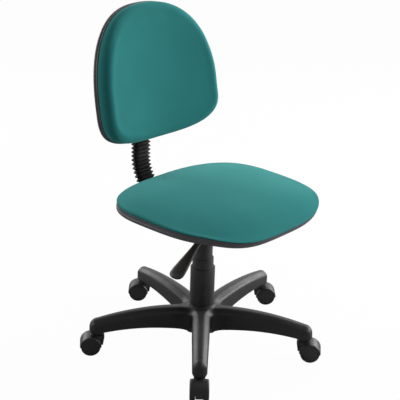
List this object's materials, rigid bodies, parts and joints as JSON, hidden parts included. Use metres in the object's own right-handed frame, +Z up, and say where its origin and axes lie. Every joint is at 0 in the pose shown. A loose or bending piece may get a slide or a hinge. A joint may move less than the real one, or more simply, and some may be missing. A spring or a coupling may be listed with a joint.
{
  "type": "swivel office chair",
  "caption": "Height-adjustable swivel chair with a padded seat, a padded backrest on a bent steel bar and a castor base.",
  "frame": {"origin": "on the floor under the column's axis", "axes": "+Z up; the sitter faces -Y, so -X is the sitter's right, where the lever is"},
  "size_m": [0.6071, 0.6188, 0.8584],
  "materials": {
    "base_nylon": "satin",
    "castor_nylon": "satin",
    "wheel_nylon": "gloss",
    "cover_plastic": "satin",
    "grip_plastic": "satin",
    "white_acetal": "matte",
    "red_plastic": "satin",
    "black_steel": "satin",
    "bright_steel": "ground",
    "zinc": "zinc plated",
    "plywood": "sanded",
    "teal_fabric": "woven",
    "edge_trim": "satin",
    "bellows_rubber": "matte"
  },
  "bodies": {
    "base": {"five_star_base": "base_nylon", "column_tube": "black_steel", "column_bush": "white_acetal", "bearing_race": "zinc", "cover_lower": "cover_plastic"},
    "swivel": {"piston_rod": "bright_steel", "bearing_washer": "zinc", "bearing_balls": "bright_steel", "rod_clip": "zinc"},
    "lift": {"gas_cylinder": "black_steel", "cover_upper": "cover_plastic", "seat_box": "black_steel", "taper_socket": "black_steel", "plate_bolts": "zinc", "board_nuts": "zinc", "seat_board": "plywood", "seat_cushion": "teal_fabric", "seat_trim": "edge_trim", "lever_pin": "zinc", "back_bar": "black_steel", "bar_bolts": "zinc", "bar_bellows": "bellows_rubber"},
    "valve": {"valve_button": "red_plastic"},
    "lever": {"lever_rod": "black_steel", "lever_grip": "grip_plastic"},
    "middle_cover": {"cover_middle": "cover_plastic"},
    "backrest": {"back_board": "plywood", "back_cushion": "teal_fabric", "back_trim": "edge_trim", "rear_cover": "cover_plastic", "back_bracket": "grip_plastic", "back_bolts": "zinc", "back_nuts": "zinc"},
    "knob": {"height_knob": "grip_plastic", "knob_screw": "zinc"},
    "castor_1": {"castor_1_housing": "castor_nylon", "castor_1_stem": "zinc", "castor_1_axle": "zinc"},
    "castor_1_left": {"castor_1_wheel_left": "wheel_nylon"},
    "castor_1_right": {"castor_1_wheel_right": "wheel_nylon"},
    "castor_2": {"castor_2_housing": "castor_nylon", "castor_2_stem": "zinc", "castor_2_axle": "zinc"},
    "castor_2_left": {"castor_2_wheel_left": "wheel_nylon"},
    "castor_2_right": {"castor_2_wheel_right": "wheel_nylon"},
    "castor_3": {"castor_3_housing": "castor_nylon", "castor_3_stem": "zinc", "castor_3_axle": "zinc"},
    "castor_3_left": {"castor_3_wheel_left": "wheel_nylon"},
    "castor_3_right": {"castor_3_wheel_right": "wheel_nylon"},
    "castor_4": {"castor_4_housing": "castor_nylon", "castor_4_stem": "zinc", "castor_4_axle": "zinc"},
    "castor_4_left": {"castor_4_wheel_left": "wheel_nylon"},
    "castor_4_right": {"castor_4_wheel_right": "wheel_nylon"},
    "castor_5": {"castor_5_housing": "castor_nylon", "castor_5_stem": "zinc", "castor_5_axle": "zinc"},
    "castor_5_left": {"castor_5_wheel_left": "wheel_nylon"},
    "castor_5_right": {"castor_5_wheel_right": "wheel_nylon"}
  },
  "joints": [
    {"name": "seat_swivel", "type": "hinge", "parent": "base", "child": "swivel", "pos_m": [0, 0, 0.05], "axis": [0, 0, 1], "continuous": true},
    {"name": "height_adjust", "type": "slide", "parent": "swivel", "child": "lift", "axis": [0, 0, 1], "range_m": [-0.05, 0.055]},
    {"name": "cover_slide", "type": "slide", "parent": "base", "child": "middle_cover", "axis": [0, 0, 1], "range_m": [-0.026, 0.028]},
    {"name": "lever_lift", "type": "hinge", "parent": "lift", "child": "lever", "pos_m": [-0.038, 0, 0.37545], "axis": [0, 1, 0], "range_deg": [0, 6], "stiffness_Nm_per_rad": 2, "springref_deg": -34.38},
    {"name": "valve_press", "type": "slide", "parent": "lift", "child": "valve", "axis": [0, 0, 1], "range_m": [-0.0045, 0]},
    {"name": "back_height", "type": "slide", "parent": "lift", "child": "backrest", "axis": [0, 0, 1], "range_m": [-0.025, 0.04], "deforming": ["bar_bellows"]},
    {"name": "knob_turn", "type": "hinge", "parent": "backrest", "child": "knob", "pos_m": [0, 0.25, 0.5875], "axis": [0, 1, 0], "range_deg": [0, 360]},
    {"name": "castor_1_swivel", "type": "hinge", "parent": "base", "child": "castor_1", "pos_m": [-0.20714, -0.18391, 0.056], "axis": [0, 0, 1], "continuous": true},
    {"name": "castor_1_left_spin", "type": "hinge", "parent": "castor_1", "child": "castor_1_left", "pos_m": [-0.21957, -0.1955, 0.025], "axis": [0.682, -0.7314, 0], "continuous": true},
    {"name": "castor_1_right_spin", "type": "hinge", "parent": "castor_1", "child": "castor_1_right", "pos_m": [-0.21957, -0.1955, 0.025], "axis": [0.682, -0.7314, 0], "continuous": true},
    {"name": "castor_2_swivel", "type": "hinge", "parent": "base", "child": "castor_2", "pos_m": [0.1109, -0.25383, 0.056], "axis": [0, 0, 1], "continuous": true},
    {"name": "castor_2_left_spin", "type": "hinge", "parent": "castor_2", "child": "castor_2_left", "pos_m": [0.12089, -0.26759, 0.025], "axis": [0.809, 0.5878, 0], "continuous": true},
    {"name": "castor_2_right_spin", "type": "hinge", "parent": "castor_2", "child": "castor_2_right", "pos_m": [0.12089, -0.26759, 0.025], "axis": [0.809, 0.5878, 0], "continuous": true},
    {"name": "castor_3_swivel", "type": "hinge", "parent": "base", "child": "castor_3", "pos_m": [0.27568, 0.02703, 0.056], "axis": [0, 0, 1], "continuous": true},
    {"name": "castor_3_left_spin", "type": "hinge", "parent": "castor_3", "child": "castor_3_left", "pos_m": [0.28749, 0.0148, 0.025], "axis": [0.7193, 0.6947, 0], "continuous": true},
    {"name": "castor_3_right_spin", "type": "hinge", "parent": "castor_3", "child": "castor_3_right", "pos_m": [0.28749, 0.0148, 0.025], "axis": [0.7193, 0.6947, 0], "continuous": true},
    {"name": "castor_4_swivel", "type": "hinge", "parent": "base", "child": "castor_4", "pos_m": [0.05948, 0.27054, 0.056], "axis": [0, 0, 1], "continuous": true},
    {"name": "castor_4_left_spin", "type": "hinge", "parent": "castor_4", "child": "castor_4_left", "pos_m": [0.04789, 0.28297, 0.025], "axis": [-0.7314, -0.682, 0], "continuous": true},
    {"name": "castor_4_right_spin", "type": "hinge", "parent": "castor_4", "child": "castor_4_right", "pos_m": [0.04789, 0.28297, 0.025], "axis": [-0.7314, -0.682, 0], "continuous": true},
    {"name": "castor_5_swivel", "type": "hinge", "parent": "base", "child": "castor_5", "pos_m": [-0.23892, 0.14017, 0.056], "axis": [0, 0, 1], "continuous": true},
    {"name": "castor_5_left_spin", "type": "hinge", "parent": "castor_5", "child": "castor_5_left", "pos_m": [-0.25155, 0.15155, 0.025], "axis": [-0.6691, -0.7431, 0], "continuous": true},
    {"name": "castor_5_right_spin", "type": "hinge", "parent": "castor_5", "child": "castor_5_right", "pos_m": [-0.25155, 0.15155, 0.025], "axis": [-0.6691, -0.7431, 0], "continuous": true}
  ],
  "couplings": [
    {"joint": "cover_slide", "follows": "height_adjust", "ratio": 0.5},
    {"joint": "valve_press", "follows": "lever_lift", "m_per_rad": -0.038}
  ]
}
